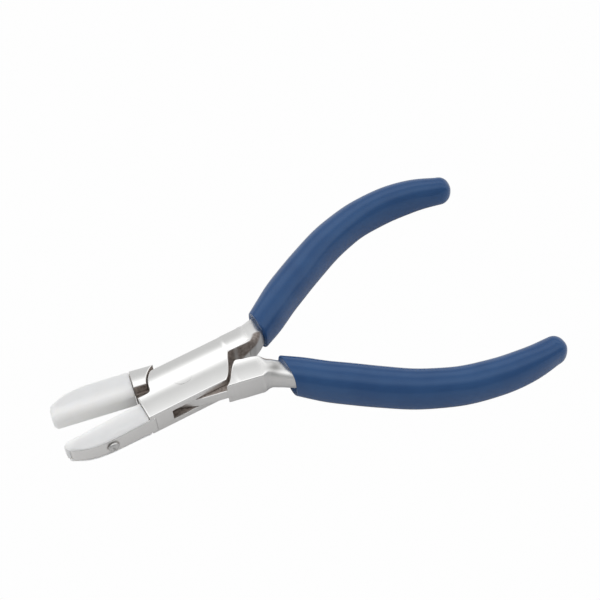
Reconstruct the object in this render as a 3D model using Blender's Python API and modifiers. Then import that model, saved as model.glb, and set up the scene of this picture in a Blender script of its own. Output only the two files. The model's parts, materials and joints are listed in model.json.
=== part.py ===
"""Flat nose pliers with replaceable nylon jaw pads and a box joint.

Two forged steel halves cross at a rivet. The box half carries two cheeks with
a slot between them. The tenon half passes through that slot. Each half has a
jaw plate that holds a screwed nylon pad, and a tang inside a dipped grip.

Both halves are drawn in one flat working plane: X runs along the tool, jaws
at -X and handles at +X, Z is the rivet's axis and z = 0 is the middle of the
thickness. They are drawn as they lie when the sides of the box line up, and
are then swung apart about the rivet. Numbers below are millimetres and degrees.
"""

import math

import bmesh
import bpy
from mathutils import Matrix, Vector

for old in list(bpy.data.objects):
    bpy.data.objects.remove(old, do_unlink=True)

MM = 0.001
GAP = 0.3  # running clearance between neighbouring pieces

# joint
OPEN_EACH = 6.2  # each half is swung this far from the drawing position
CLOSED_EACH = 0.3  # the pads meet when each half is still swung this far

# box joint
SIDE_Y = 7.4  # half width of the box
EDGE_Z = 3.9  # half thickness at the long edges of the box
CROWN_Z = 4.7  # half thickness at its middle line
BOX_FRONT_X = -13.6
SHOULDER_END_X = 21.2  # where the box width drops to the neck
CHEEK_FRONT_R = 9.45  # arc of the cheeks' cut back front end
TENON_R = 9.65  # arcs of the tenon's ends
SLOT_R = 10.0  # arcs of the slot's ends
TENON_Z = 1.6
SLOT_Z = TENON_Z + GAP
RIVET_R = 2.3

# jaws
JAW_TIP_X = -37.1
PLATE_TIP_X = -36.1
PLATE_Y = 7.7  # outer face
PLATE_BACK_Y = 3.4  # face that the pad's web lies on
PLATE_Z = 2.75
PAD_Z = 3.6
PAD_EDGE_R = 2.0
PAD_LEAN = 1.45  # the gripping plane leans this far towards the box side
JAW_TAPER = 0.18  # share of the jaw's thickness lost at its tip
PAD_REAR_X = -13.9
SCREW_X = -25.2
SCREW_R = 0.9
SCREW_HEAD_R = 1.6
SCREW_HEAD_H = 0.95

# handles: centre line of the tang and the grip, on the +Y side
HANDLE_LINE = (
    (21.4, 3.4),
    (25.0, 4.7),
    (29.5, 7.3),
    (38.7, 13.0),
    (47.8, 17.9),
    (56.8, 22.3),
    (65.8, 25.5),
    (74.5, 27.3),
    (83.1, 27.5),
    (91.6, 26.3),
    (99.9, 23.5),
)
HANDLE_LINE_TENON = (*HANDLE_LINE[:-2], (91.6, 26.7), (99.9, 24.7))  # curls in a little less
GRIP_MOUTHS = {"box side": (26.9, -3.0), "tenon side": (27.8, 7.0)}  # dip lines: x at y = 3, lean outwards in degrees
GRIP_HALF_WIDTH = 5.3
GRIP_DEPTH_RATIO = 1.2  # grip thickness over grip width
GRIP_WIDTHS = (  # share of the grip's length, share of its full width
    (0.0, 0.80),
    (0.06, 0.88),
    (0.15, 0.97),
    (0.28, 1.01),
    (0.45, 1.0),
    (0.62, 0.955),
    (0.76, 0.935),
    (0.88, 0.87),
    (1.0, 0.72),
)
GRIP_END = 3.9  # length of the rounded end past the handle line
TANG_HALF_WIDTH = 3.45  # at the neck; slimmer inside the grip
TANG_HALF_DEPTH = 3.7
TANG_POWER = 0.75
TANG_SLIM = 0.82


def collection(name):
    made = bpy.data.collections.new(name)
    bpy.context.scene.collection.children.link(made)
    return made


TOOL = collection("Flat nose pliers")
CUTTERS = collection("Cutters")


def material(name, colour, roughness, metallic=0.0):
    made = bpy.data.materials.new(name)
    made.use_nodes = True
    shader = made.node_tree.nodes["Principled BSDF"]
    shader.inputs["Base Color"].default_value = (*colour, 1.0)
    shader.inputs["Roughness"].default_value = roughness
    shader.inputs["Metallic"].default_value = metallic
    made.diffuse_color = (*colour, 1.0)
    return made


STEEL = material("polished steel", (0.72, 0.72, 0.71), 0.22, 1.0)
STEEL_B = material("polished steel, tenon half", (0.70, 0.70, 0.69), 0.24, 1.0)
RIVET_STEEL = material("rivet steel", (0.66, 0.66, 0.65), 0.25, 1.0)
SCREW_STEEL = material("screw steel", (0.55, 0.55, 0.54), 0.30, 1.0)
SCREW_STEEL_B = material("screw steel, tenon side", (0.56, 0.56, 0.55), 0.30, 1.0)
NYLON = material("white nylon", (0.84, 0.84, 0.80), 0.38)
NYLON_B = material("white nylon, tenon side", (0.83, 0.83, 0.79), 0.38)
VINYL = material("blue dipped vinyl", (0.015, 0.10, 0.36), 0.22)
VINYL_B = material("blue dipped vinyl, tenon side", (0.015, 0.09, 0.34), 0.22)


# ---------------------------------------------------------------- geometry


def arc(radius, start, end, steps=10, centre=(0.0, 0.0)):
    """Points on a circle, from one angle to the other in degrees."""
    return [
        (
            centre[0] + radius * math.cos(math.radians(start + (end - start) * i / steps)),
            centre[1] + radius * math.sin(math.radians(start + (end - start) * i / steps)),
        )
        for i in range(steps + 1)
    ]


def spiral(knots, steps=14):
    """Points of a curve given as (angle, radius) knots, straight in between."""
    points = []
    first, last = knots[0][0], knots[-1][0]
    for i in range(steps + 1):
        angle = first + (last - first) * i / steps
        for (a0, r0), (a1, r1) in zip(knots, knots[1:]):
            if min(a0, a1) - 1e-9 <= angle <= max(a0, a1) + 1e-9:
                radius = r0 + (r1 - r0) * (angle - a0) / (a1 - a0)
                points.append((radius * math.cos(math.radians(angle)), radius * math.sin(math.radians(angle))))
                break
    return points


def smooth_line(points, steps):
    """Catmull-Rom curve through the given points."""
    out = []
    padded = [points[0], *points, points[-1]]
    for i in range(1, len(padded) - 2):
        p0, p1, p2, p3 = (Vector(padded[j]) for j in (i - 1, i, i + 1, i + 2))
        for k in range(steps):
            t = k / steps
            out.append(
                0.5
                * (
                    2 * p1
                    + (p2 - p0) * t
                    + (2 * p0 - 5 * p1 + 4 * p2 - p3) * t * t
                    + (3 * p1 - p0 - 3 * p2 + p3) * t * t * t
                )
            )
    out.append(Vector(points[-1]))
    return out


def mirrored(points):
    """The same outline on the other side of the tool's middle line."""
    return [(x, -y) for x, y in reversed(points)]


def keep_mesh(source, name):
    """The object's evaluated shape as a welded mesh object; the source goes."""
    bpy.context.view_layer.update()
    graph = bpy.context.evaluated_depsgraph_get()
    mesh = bpy.data.meshes.new_from_object(source.evaluated_get(graph))
    work = bmesh.new()
    work.from_mesh(mesh)
    work.transform(source.matrix_world)
    bmesh.ops.remove_doubles(work, verts=work.verts, dist=2e-6)
    bmesh.ops.recalc_face_normals(work, faces=work.faces)
    work.to_mesh(mesh)
    work.free()
    mesh.name = name
    bpy.data.objects.remove(source, do_unlink=True)
    made = bpy.data.objects.new(name, mesh)
    CUTTERS.objects.link(made)
    return made


def prism(name, outline, half_height, turn=None):
    """A flat outline given a thickness, centred on its plane."""
    curve = bpy.data.curves.new(name, "CURVE")
    curve.dimensions = "2D"
    curve.fill_mode = "BOTH"
    curve.extrude = half_height * MM
    spline = curve.splines.new("POLY")
    spline.points.add(len(outline) - 1)
    for point, (x, y) in zip(spline.points, outline):
        point.co = (x * MM, y * MM, 0.0, 1.0)
    spline.use_cyclic_u = True
    made = bpy.data.objects.new(name, curve)
    CUTTERS.objects.link(made)
    if turn is not None:
        made.matrix_world = turn
    return keep_mesh(made, name)


def cylinder(name, radius, length, at, axis="Z", sides=32):
    mesh = bpy.data.meshes.new(name)
    work = bmesh.new()
    bmesh.ops.create_cone(
        work, cap_ends=True, segments=sides, radius1=radius * MM, radius2=radius * MM, depth=length * MM
    )
    if axis == "Y":
        work.transform(Matrix.Rotation(math.radians(90.0), 4, "X"))
    work.transform(Matrix.Translation(Vector(at) * MM))
    work.to_mesh(mesh)
    work.free()
    made = bpy.data.objects.new(name, mesh)
    CUTTERS.objects.link(made)
    return made


def block(name, low, high):
    mesh = bpy.data.meshes.new(name)
    work = bmesh.new()
    bmesh.ops.create_cube(work, size=1.0)
    low, high = Vector(low) * MM, Vector(high) * MM
    work.transform(
        Matrix.Translation((low + high) / 2) @ Matrix.Diagonal((*(high - low), 1.0))
    )
    work.to_mesh(mesh)
    work.free()
    made = bpy.data.objects.new(name, mesh)
    CUTTERS.objects.link(made)
    return made


def sweep(name, line, radii, profile):
    """A profile carried along a line in the working plane, scaled point by point."""
    shape = bpy.data.curves.new(name + " section", "CURVE")
    shape.dimensions = "2D"
    ring = shape.splines.new("POLY")
    ring.points.add(len(profile) - 1)
    for point, (u, v) in zip(ring.points, profile):
        point.co = (u * MM, v * MM, 0.0, 1.0)
    ring.use_cyclic_u = True
    section = bpy.data.objects.new(name + " section", shape)
    CUTTERS.objects.link(section)
    curve = bpy.data.curves.new(name, "CURVE")
    curve.dimensions = "3D"
    curve.twist_mode = "Z_UP"
    curve.bevel_mode = "OBJECT"
    curve.bevel_object = section
    curve.use_fill_caps = True
    spline = curve.splines.new("POLY")
    spline.points.add(len(line) - 1)
    for point, (x, y), radius in zip(spline.points, line, radii):
        point.co = (x * MM, y * MM, 0.0, 1.0)
        point.radius = radius
    made = bpy.data.objects.new(name, curve)
    CUTTERS.objects.link(made)
    made = keep_mesh(made, name)
    bpy.data.objects.remove(section, do_unlink=True)
    return made


def combine(target, other, operation):
    """Adds a Boolean and keeps its result."""
    change = target.modifiers.new(operation.lower(), "BOOLEAN")
    change.operation = operation
    change.solver = "EXACT"
    change.object = other
    name = target.name
    target.name = name + " before"
    made = keep_mesh(target, name)
    bpy.data.objects.remove(other, do_unlink=True)
    return made


def flip(source, name):
    """The same shape on the other side of the tool's middle line."""
    mesh = source.data.copy()
    mesh.transform(Matrix.Diagonal((1.0, -1.0, 1.0, 1.0)))
    mesh.flip_normals()
    made = bpy.data.objects.new(name, mesh)
    CUTTERS.objects.link(made)
    return made


def finish(made, name, surface, half, smooth_angle=35.0):
    """Puts a finished solid in the tool's collection, under its half's pivot."""
    made.name = name
    made.data.name = name
    for owner in list(made.users_collection):
        owner.objects.unlink(made)
    TOOL.objects.link(made)
    made.data.materials.clear()
    made.data.materials.append(surface)
    made.data.shade_smooth()
    made.data.set_sharp_from_angle(angle=math.radians(smooth_angle))
    made.parent = half
    return made


# ------------------------------------------------------------ pivot frames

root = bpy.data.objects.new("pivot", None)
TOOL.objects.link(root)
box_frame = bpy.data.objects.new("box_half_swing", None)
tenon_frame = bpy.data.objects.new("tenon_half_swing", None)
for frame, turn in ((box_frame, OPEN_EACH), (tenon_frame, -OPEN_EACH)):
    TOOL.objects.link(frame)
    frame.parent = root
    frame.rotation_euler = (0.0, 0.0, math.radians(turn))

# ------------------------------------------------------------- shared forms


def barrel(name):
    """The crowned section that both halves are ground to, as one long bar."""
    half = SIDE_Y + 1.0
    radius = (SIDE_Y**2 + (CROWN_Z - EDGE_Z) ** 2) / (2 * (CROWN_Z - EDGE_Z))
    steps = 12
    top = []
    for i in range(steps + 1):
        y = half - 2 * half * i / steps
        top.append((y, CROWN_Z - radius + math.sqrt(radius**2 - y**2)))
    outline = top + [(-y, -z) for y, z in top]
    # local x -> world Y, local y -> world Z, local z -> world X
    turn = Matrix(((0, 0, 1, 0), (1, 0, 0, 0), (0, 1, 0, 0), (0, 0, 0, 1)))
    return prism(name, outline, 45.0, turn)


def taper(made):
    """Thins a jaw piece evenly towards the tip, from the box front."""
    for vertex in made.data.vertices:
        run = (BOX_FRONT_X * MM - vertex.co.x) / ((BOX_FRONT_X - JAW_TIP_X) * MM)
        vertex.co.z *= 1.0 - JAW_TAPER * run


def plate_outline():
    """Lower jaw plate seen from above: straight flank, then curved in to the tip."""
    flank = [
        (-12.0, -PLATE_Y),
        (-25.0, -PLATE_Y),
        (-28.5, -7.35),
        (-31.5, -6.7),
        (-34.2, -5.6),
        (PLATE_TIP_X + 0.5, -4.75),
        (PLATE_TIP_X, -4.3),
    ]
    return [(-12.0, -PLATE_BACK_Y), *flank, (PLATE_TIP_X, -PLATE_BACK_Y)]


def jaw_plate(name):
    made = prism(name, plate_outline()[::-1], PLATE_Z)
    taper(made)
    bevel = made.modifiers.new("edges", "BEVEL")
    bevel.width = 0.35 * MM
    bevel.segments = 2
    bevel.limit_method = "ANGLE"
    bevel.angle_limit = math.radians(50.0)
    return keep_mesh(made, name)


def handle_points(centre_line=HANDLE_LINE):
    """Even points along the handle's centre line, with distance from its start."""
    points = smooth_line(centre_line, 3)
    run = [0.0]
    for a, b in zip(points, points[1:]):
        run.append(run[-1] + (b - a).length)
    return points, run


def tang_scale(x):
    return 1.0 - (1.0 - TANG_SLIM) * min(max((x - 25.0) / 6.0, 0.0), 1.0)


def tang_profile(gap):
    """Section of the tang, between a circle and a rounded square, grown by a gap."""
    sides = 16
    return [
        (
            (TANG_HALF_WIDTH + gap) * math.copysign(abs(c) ** TANG_POWER, c),
            (TANG_HALF_DEPTH + gap) * math.copysign(abs(s) ** TANG_POWER, s),
        )
        for c, s in (
            (math.cos(2 * math.pi * (i + 0.5) / sides), math.sin(2 * math.pi * (i + 0.5) / sides)) for i in range(sides)
        )
    ]


def tang(name, centre_line=HANDLE_LINE):
    """Rounded bar from the shoulder to near the handle's end."""
    points, run = handle_points(centre_line)
    line = [Vector((16.0, 3.4)), *points[:-4]]
    radii = [tang_scale(point.x) for point in line]
    radii[-1] = 0.55
    return sweep(name, [tuple(p) for p in line], radii, tang_profile(0.0))


def grip_width(share):
    """Width factor along the grip, straight between the stated widths."""
    for (s0, w0), (s1, w1) in zip(GRIP_WIDTHS, GRIP_WIDTHS[1:]):
        if share <= s1:
            return w0 + (w1 - w0) * max(0.0, share - s0) / (s1 - s0)
    return GRIP_WIDTHS[-1][1]


def grip_skin(name, mouth, centre_line=HANDLE_LINE):
    """Outer form of the dipped grip: swells from its mouth, rounded end."""
    points, run = handle_points(centre_line)
    kept = [(p, r) for p, r in zip(points, run) if p.x >= 24.0]
    first, total = kept[0][1], kept[-1][1]
    line = [tuple(p) for p, r in kept]
    radii = [grip_width((r - first) / (total - first)) for p, r in kept]
    heading = (points[-1] - points[-2]).normalized()
    for share in (0.3, 0.55, 0.75, 0.89, 0.97, 0.997):
        line.append(tuple(points[-1] + heading * GRIP_END * share))
        radii.append(radii[len(kept) - 1] * math.sqrt(1.0 - share**2))
    sides = 20
    profile = [
        (
            GRIP_HALF_WIDTH * math.cos(2 * math.pi * i / sides),
            GRIP_HALF_WIDTH * GRIP_DEPTH_RATIO * math.sin(2 * math.pi * i / sides),
        )
        for i in range(sides)
    ]
    made = sweep(name, line, radii, profile)
    # the dip line: everything nearer the joint than a leaning plane goes
    trim = block(name + " dip line", (-30.0, -60.0, -20.0), (0.0, 60.0, 20.0))
    trim.data.transform(
        Matrix.Translation(Vector((mouth[0], 3.0, 0.0)) * MM)
        @ Matrix.Rotation(math.radians(-mouth[1]), 4, "Z")
    )
    return combine(made, trim, "DIFFERENCE")


def grip_bore(name, centre_line=HANDLE_LINE):
    """Room for the tang inside the grip, open at the mouth."""
    points, run = handle_points(centre_line)
    line = [Vector((20.0, 3.4)), *points[:-4]]
    heading = (line[-1] - line[-2]).normalized()
    line[-1] = line[-1] + heading * GAP
    return sweep(name, [tuple(p) for p in line], [tang_scale(p.x) for p in line], tang_profile(GAP / TANG_SLIM))


# ---------------------------------------------------------------- box half

cheeks_outline = [
    (BOX_FRONT_X, -SIDE_Y),
    (9.93, -SIDE_Y),
    *spiral(((-36.7, 12.39), (-29.4, 12.75), (-22.0, 13.1), (-14.7, 13.4), (-4.8, 13.9), (2.0, 15.0)), 16)[1:],
    (17.6, 0.75),
    (19.6, 1.4),
    (SHOULDER_END_X, 1.95),
    (SHOULDER_END_X, 6.1),
    (SHOULDER_END_X - 0.35, 6.75),
    (SHOULDER_END_X - 0.9, 7.1),
    *[(x, SIDE_Y - 0.3) for x in (10.0, -4.6)],
    *arc(CHEEK_FRONT_R, 131.0, 173.0, 8),
    (-9.65, 0.45),
    (-10.3, -0.05),
    (-11.2, -0.15),
    (BOX_FRONT_X, -0.15),
]
body = combine(prism("box", cheeks_outline, 6.0), barrel("box crown"), "INTERSECT")
body = combine(body, jaw_plate("plate"), "UNION")
body = combine(body, tang("tang"), "UNION")
slot_outline = [
    *arc(SLOT_R, 4.0, 46.4, 12),
    (SLOT_R * math.cos(math.radians(46.4)), 12.0),
    (-20.0, 12.0),
    (-20.0, -0.15),
    *arc(SLOT_R, 181.0, 232.0, 12),
    (SLOT_R * math.cos(math.radians(232.0)), -12.0),
    (SHOULDER_END_X + 0.2, -12.0),
    (SHOULDER_END_X + 0.2, 0.4),
    (14.9, 0.4),
]
body = combine(body, prism("slot", slot_outline, SLOT_Z), "DIFFERENCE")
body = combine(body, cylinder("rivet hole", RIVET_R + GAP, 14.0, (0, 0, 0)), "DIFFERENCE")
body = combine(
    body,
    cylinder("screw hole", SCREW_R + GAP, 8.0, (SCREW_X, -6.0, 0), "Y", 20),
    "DIFFERENCE",
)
finish(body, "box_half", STEEL, box_frame)

# -------------------------------------------------------------- tenon half

front_shoulder = [
    (BOX_FRONT_X + 0.15, 0.8),
    *arc(TENON_R + 0.15, 175.3, 131.5, 8),
    (BOX_FRONT_X + 0.15, SIDE_Y),
]
rear_shoulder = [
    *spiral(((-35.5, 12.8), (-18.6, 13.65), (-7.8, 14.15), (1.4, 15.9)), 12),
    (17.6, -0.35),
    (19.6, -1.0),
    (SHOULDER_END_X, -1.5),
    (SHOULDER_END_X, -6.1),
    (SHOULDER_END_X - 0.35, -6.75),
    (SHOULDER_END_X - 0.9, -7.1),
    (17.0, -SIDE_Y),
]
tenon_outline = [
    *arc(TENON_R, 175.5, 209.0, 8),
    (-4.2, -5.63),
    (2.3, -7.07),
    (3.8, -SIDE_Y + 0.02),
    (12.0, -SIDE_Y),
    (16.2, -5.6),
    (16.4, -0.2),
    (15.4, 0.3),
    (TENON_R, 0.45),
    *arc(TENON_R, 4.0, 50.0, 10),
    (-8.0, SIDE_Y - 0.05),
    (-12.6, SIDE_Y - 0.6),
    (-12.6, 0.9),
]
half = combine(prism("front shoulder", front_shoulder[::-1], 6.0), barrel("front crown"), "INTERSECT")
rear = combine(prism("rear shoulder", rear_shoulder[::-1], 6.0), barrel("rear crown"), "INTERSECT")
half = combine(half, prism("tenon", tenon_outline, TENON_Z), "UNION")
half = combine(half, rear, "UNION")
lower_plate = jaw_plate("plate below")
half = combine(half, flip(lower_plate, "plate above"), "UNION")
bpy.data.objects.remove(lower_plate, do_unlink=True)
upper_tang = tang("tang above", HANDLE_LINE_TENON)
half = combine(half, flip(upper_tang, "tang below"), "UNION")
bpy.data.objects.remove(upper_tang, do_unlink=True)
half = combine(half, cylinder("rivet hole", RIVET_R + GAP, 14.0, (0, 0, 0)), "DIFFERENCE")
half = combine(
    half,
    cylinder("screw hole", SCREW_R + GAP, 8.0, (SCREW_X, 6.0, 0), "Y", 20),
    "DIFFERENCE",
)
finish(half, "tenon_half", STEEL_B, tenon_frame)

# ------------------------------------------------------------------- rivet

finish(cylinder("rivet", RIVET_R, 2 * (CROWN_Z - 0.1), (0, 0, 0), sides=40), "pivot_rivet", RIVET_STEEL, box_frame)

# -------------------------------------------------------------------- pads


def pad(name, lean):
    """Nylon block with a channel down its outer side for the jaw plate."""
    slope = math.tan(math.radians(CLOSED_EACH - lean))
    corner = 1.6

    def face(x):
        return -x * slope - GAP / 2

    outline = [
        (PAD_REAR_X, face(PAD_REAR_X)),
        (JAW_TIP_X + corner, face(JAW_TIP_X)),
        *[
            (JAW_TIP_X + corner * (1 - math.sin(a)), face(JAW_TIP_X) - corner * (1 - math.cos(a)))
            for a in (math.radians(30), math.radians(60), math.radians(90))
        ],
        (JAW_TIP_X, -4.1),
        (JAW_TIP_X + 0.6, -4.75),
        (-34.2, -5.65),
        (-31.5, -6.75),
        (-28.5, -7.4),
        (-25.0, -PLATE_Y),
        (PAD_REAR_X - 1.0, -PLATE_Y),
        (PAD_REAR_X - 0.3, -PLATE_Y + 0.3),
        (PAD_REAR_X, -PLATE_Y + 1.0),
    ]
    plan = prism(name + " plan", outline, 6.0)
    rounding = [
        (1.2 - PAD_EDGE_R * (1 - math.cos(a)), PAD_Z - PAD_EDGE_R * (1 - math.sin(a)))
        for a in [math.radians(15 * i) for i in range(7)]
    ]
    upper = [*rounding, (-4.6, PAD_Z), (-6.4, PAD_Z - 0.06), (-7.3, PAD_Z - 0.2), (-8.2, PAD_Z - 0.45)]
    section = upper + [(y, -z) for y, z in reversed(upper)]
    turn = Matrix(((0, 0, 1, 0), (1, 0, 0, 0), (0, 1, 0, 0), (0, 0, 0, 1)))
    # the rounded edge follows the slope of the gripping face
    made = prism(name + " section", section, 45.0, turn)
    made.data.transform(Matrix(((1, 0, 0, 0), (-slope, 1, 0, -(1.2 + GAP / 2) * MM), (0, 0, 1, 0), (0, 0, 0, 1))))
    taper(made)
    made = combine(plan, made, "INTERSECT")
    made.name = name
    channel = block(
        "channel", (JAW_TIP_X - 2.0, -12.0, -PLATE_Z - GAP), (PAD_REAR_X + 3.0, -PLATE_BACK_Y + GAP, PLATE_Z + GAP)
    )
    taper(channel)
    made = combine(made, channel, "DIFFERENCE")
    made = combine(made, cylinder("thread", SCREW_R + GAP, 4.0, (SCREW_X, -3.2, 0), "Y", 20), "DIFFERENCE")
    return made


upper_pad = pad("upper pad", -PAD_LEAN)
finish(flip(upper_pad, "upper pad flipped"), "jaw_pad_tenon_side", NYLON_B, tenon_frame)
bpy.data.objects.remove(upper_pad, do_unlink=True)
finish(pad("lower pad", PAD_LEAN), "jaw_pad_box_side", NYLON, box_frame)

# ------------------------------------------------------------------ screws


def screw(name):
    """Cheese head screw with a slot, its axis along Y, head outwards at -Y."""
    under = -PLATE_Y - GAP
    shank_end = -1.5
    shank = cylinder(name, SCREW_R, under * -1 + 0.4 + shank_end, (SCREW_X, (under - 0.4 + shank_end) / 2, 0), "Y", 20)
    head = cylinder(
        name + " head", SCREW_HEAD_R, SCREW_HEAD_H, (SCREW_X, under - SCREW_HEAD_H / 2, 0), "Y", 28
    )
    made = combine(shank, head, "UNION")
    slot = block(
        name + " slot",
        (SCREW_X - 3.0, under - SCREW_HEAD_H - 1.0, -0.25),
        (SCREW_X + 3.0, under - SCREW_HEAD_H + 0.5, 0.25),
    )
    return combine(made, slot, "DIFFERENCE")


lower_screw = screw("lower screw")
finish(flip(lower_screw, "upper screw"), "pad_screw_tenon_side", SCREW_STEEL_B, tenon_frame)
finish(lower_screw, "pad_screw_box_side", SCREW_STEEL, box_frame)

# ------------------------------------------------------------------- grips

upper_grip = combine(grip_skin("upper grip", GRIP_MOUTHS["box side"]), grip_bore("upper bore"), "DIFFERENCE")
finish(upper_grip, "grip_box_side", VINYL, box_frame)
lower_grip = combine(
    grip_skin("grip below", GRIP_MOUTHS["tenon side"], HANDLE_LINE_TENON),
    grip_bore("lower bore", HANDLE_LINE_TENON),
    "DIFFERENCE",
)
finish(flip(lower_grip, "lower grip"), "grip_tenon_side", VINYL_B, tenon_frame)
bpy.data.objects.remove(lower_grip, do_unlink=True)

# -------------------------------------------- origin: middle of the footprint

bpy.context.view_layer.update()
corners = [
    ob.matrix_world @ vertex.co
    for ob in TOOL.objects
    if ob.type == "MESH"
    for vertex in ob.data.vertices
]
low = [min(c[i] for c in corners) for i in range(3)]
high = [max(c[i] for c in corners) for i in range(3)]
root.location = (
    -round((low[0] + high[0]) / 2, 4),
    -round((low[1] + high[1]) / 2, 4),
    -round(low[2], 5),
)
bpy.context.view_layer.update()
print("pivot at", [round(v * 1000, 3) for v in root.location], "mm")
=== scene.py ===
"""Flat nose pliers with a box joint, nylon jaw pads and dipped grips: the fine surfaces.

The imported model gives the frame, the pivot and every size. Steel, nylon and
vinyl surfaces are made from distance functions: a solid is described by the
distance to its surface, edges are rounded where two surfaces meet, and the
zero level is turned into a quad mesh whose points are moved onto it exactly.
All shapes are in millimetres in the tool's own drawing frame (X along the tool
with the jaws at -X, the pivot at 0,0,0) and each half is then swung about the
pivot to its place in the frame.
"""
import json
import math

import bpy
import numpy as np
from mathutils import Matrix, Vector

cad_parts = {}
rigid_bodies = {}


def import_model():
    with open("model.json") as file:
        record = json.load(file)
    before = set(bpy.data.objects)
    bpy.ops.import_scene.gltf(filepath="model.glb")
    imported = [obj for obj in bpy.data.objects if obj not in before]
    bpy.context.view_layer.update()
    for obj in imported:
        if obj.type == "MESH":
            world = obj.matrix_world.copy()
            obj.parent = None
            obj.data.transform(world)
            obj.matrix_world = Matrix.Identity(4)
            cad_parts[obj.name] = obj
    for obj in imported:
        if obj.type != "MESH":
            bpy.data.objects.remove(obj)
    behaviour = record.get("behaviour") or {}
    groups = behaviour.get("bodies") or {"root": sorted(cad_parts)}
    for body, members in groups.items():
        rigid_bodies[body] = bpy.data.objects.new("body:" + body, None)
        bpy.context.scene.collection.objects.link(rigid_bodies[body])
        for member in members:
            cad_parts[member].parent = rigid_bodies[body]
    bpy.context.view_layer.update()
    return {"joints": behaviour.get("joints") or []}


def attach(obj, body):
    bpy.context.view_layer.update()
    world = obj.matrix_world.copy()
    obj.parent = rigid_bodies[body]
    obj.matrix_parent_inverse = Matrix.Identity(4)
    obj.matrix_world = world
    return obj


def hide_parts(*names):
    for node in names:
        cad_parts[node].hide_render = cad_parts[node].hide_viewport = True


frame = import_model()

MM = 0.001
JOINT = frame["joints"][0]
PIVOT = np.array(JOINT["pos_m"], float) / MM
BOX_BODY, TENON_BODY = JOINT["parent"], JOINT["child"]
OPEN_EACH = 6.2

# -------------------------------------------------------------- sizes, in mm
SIDE_Y = 7.4
EDGE_Z = 3.9
CROWN_Z = 4.7
CROWN_R = (SIDE_Y**2 + (CROWN_Z - EDGE_Z) ** 2) / (2 * (CROWN_Z - EDGE_Z))
BOX_FRONT_X = -13.6
SHOULDER_END_X = 21.2
CHEEK_FRONT_R = 9.45
TENON_R = 9.65
SLOT_R = 10.0
TENON_Z = 1.62
SLOT_Z = 1.85
RIVET_R = 2.3
JAW_TIP_X = -37.1
PLATE_TIP_X = -36.1
PLATE_Y = 7.7
PLATE_BACK_Y = 3.4
PLATE_Z = 2.75
PAD_Z = 3.6
PAD_EDGE_R = 2.0
PAD_LEAN = 1.45
CLOSED_EACH = 0.3
JAW_TAPER = 0.18
PAD_REAR_X = -13.66
SCREW_X = -25.2
SCREW_HEAD_R = 1.6
SCREW_HEAD_H = 0.95
HANDLE_LINE = (
    (21.4, 3.4), (25.0, 4.7), (29.5, 7.3), (38.7, 13.0), (47.8, 17.9), (56.8, 22.3),
    (65.8, 25.5), (74.5, 27.3), (83.1, 27.5), (91.6, 26.3), (99.9, 23.5),
)
HANDLE_LINE_TENON = (*HANDLE_LINE[:-2], (91.6, 26.7), (99.9, 24.7))
GRIP_HALF_WIDTH = 5.3
GRIP_DEPTH_RATIO = 1.2
GRIP_WIDTHS = (
    (0.0, 0.80), (0.06, 0.88), (0.15, 0.97), (0.28, 1.01), (0.45, 1.0),
    (0.62, 0.955), (0.76, 0.935), (0.88, 0.87), (1.0, 0.72),
)
GRIP_END = 3.9
TANG_HALF_WIDTH = 3.45
TANG_HALF_DEPTH = 3.75
TANG_SLIM = 0.82


# ------------------------------------------------------------ flat outlines

def arc(radius, start, end, steps=24):
    a = np.radians(np.linspace(start, end, steps + 1))
    return [(radius * math.cos(t), radius * math.sin(t)) for t in a]


def spiral(knots, steps=48):
    ka = np.array([k[0] for k in knots], float)
    kr = np.array([k[1] for k in knots], float)
    order = np.argsort(ka)
    # a smooth radius between the knots, so that the ground edge has no corners
    a = np.linspace(ka[0], ka[-1], steps + 1)
    r = np.polyval(np.polyfit(ka[order], kr[order], 3), a)
    return [(q * math.cos(math.radians(t)), q * math.sin(math.radians(t))) for t, q in zip(a, r)]


def catmull(points, steps):
    p = [np.array(q, float) for q in points]
    p = [p[0], *p, p[-1]]
    out = []
    for i in range(1, len(p) - 2):
        p0, p1, p2, p3 = p[i - 1], p[i], p[i + 1], p[i + 2]
        for k in range(steps):
            t = k / steps
            out.append(0.5 * (2 * p1 + (p2 - p0) * t + (2 * p0 - 5 * p1 + 4 * p2 - p3) * t * t
                              + (3 * p1 - p0 - 3 * p2 + p3) * t**3))
    out.append(p[-2])
    return np.array(out)


# -------------------------------------------------------- distance functions

def polygon(x, y, outline):
    """Signed distance to a closed outline, negative inside."""
    p = np.array(outline, float)
    q = np.roll(p, -1, axis=0)
    shape = np.broadcast(x, y).shape
    x = np.broadcast_to(x, shape).ravel()
    y = np.broadcast_to(y, shape).ravel()
    best = np.full(x.size, 1e18)
    inside = np.zeros(x.size, bool)
    for (ax, ay), (bx, by) in zip(p, q):
        ex, ey = bx - ax, by - ay
        n = ex * ex + ey * ey
        if n < 1e-12:
            continue
        wx, wy = x - ax, y - ay
        t = np.clip((wx * ex + wy * ey) / n, 0.0, 1.0)
        dx, dy = wx - ex * t, wy - ey * t
        best = np.minimum(best, dx * dx + dy * dy)
        up = (ay <= y) & (by > y)
        down = (ay > y) & (by <= y)
        cross = ex * wy - ey * wx
        inside ^= (up & (cross > 0)) | (down & (cross < 0))
    d = np.sqrt(best)
    return np.where(inside, -d, d).reshape(shape)


def both(a, b, r):
    """Where both solids are, with the edge rounded to radius r."""
    if np.isscalar(r) and r <= 0:
        return np.maximum(a, b)
    u = np.maximum(a + r, 0.0)
    v = np.maximum(b + r, 0.0)
    return np.minimum(np.maximum(a, b), -r) + np.sqrt(u * u + v * v)


def either(a, b, r):
    """Where either solid is, with the inner corner filled to radius r."""
    return -both(-a, -b, r)


def without(a, b, r):
    return both(a, -b, r)


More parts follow.
